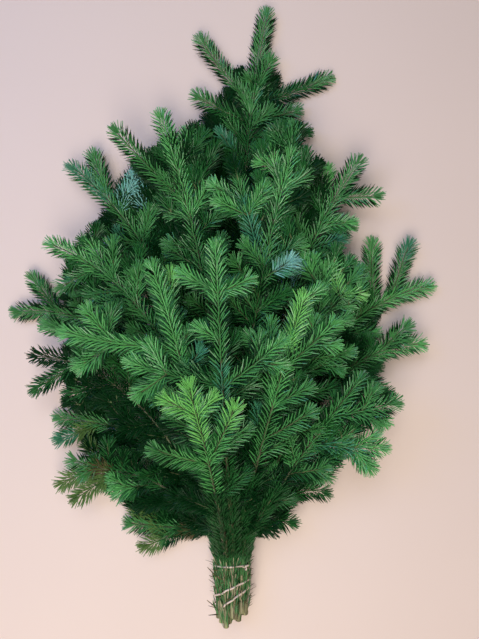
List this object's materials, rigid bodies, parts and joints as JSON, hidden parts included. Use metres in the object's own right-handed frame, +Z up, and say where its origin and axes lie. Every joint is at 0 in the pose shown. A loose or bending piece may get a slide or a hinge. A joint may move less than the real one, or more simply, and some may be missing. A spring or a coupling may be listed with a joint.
{
  "type": "tied bunch of cut fir boughs",
  "caption": "Bunch of cut fir boughs lying flat, their stems tied in a handle with a wound band, their flat sprays spread like a fan to a long leading tip.",
  "frame": {"origin": "centre of the bounding box at its underside, on the surface the bunch lies on", "axes": "+Y from the cut stem ends to the longest tip, +Z up from the surface, +X to the right seen from above"},
  "size_m": [0.6233, 0.8926, 0.1529],
  "materials": {
    "bark": "thin olive-brown bark of young shoots, dull",
    "needles": "waxy green needles, satin",
    "band": "pale pinkish beige elastic band, dull"
  },
  "bodies": {
    "root": {"stem_foot_left": "bark", "foliage_foot_left": "needles", "stem_left_third": "bark", "foliage_left_third": "needles", "stem_left_outer": "bark", "foliage_left_outer": "needles", "stem_leader": "bark", "foliage_leader": "needles", "stem_right_outer": "bark", "foliage_right_outer": "needles", "stem_low_left": "bark", "foliage_low_left": "needles", "stem_upper_left_outer": "bark", "foliage_upper_left_outer": "needles", "stem_right_far": "bark", "foliage_right_far": "needles", "stem_low_right": "bark", "foliage_low_right": "needles", "stem_left_dark": "bark", "foliage_left_dark": "needles", "stem_upper_left": "bark", "foliage_upper_left": "needles", "stem_right_top": "bark", "foliage_right_top": "needles", "stem_left_upper": "bark", "foliage_left_upper": "needles", "stem_right_inner": "bark", "foliage_right_inner": "needles", "stem_upper_centre": "bark", "foliage_upper_centre": "needles", "stem_right": "bark", "foliage_right": "needles", "stem_left_long": "bark", "foliage_left_long": "needles", "stem_front_right": "bark", "foliage_front_right": "needles", "stem_centre": "bark", "foliage_centre": "needles", "stem_trident": "bark", "foliage_trident": "needles", "binding_loop": "band", "binding_wrap": "band"}
  },
  "joints": []
}
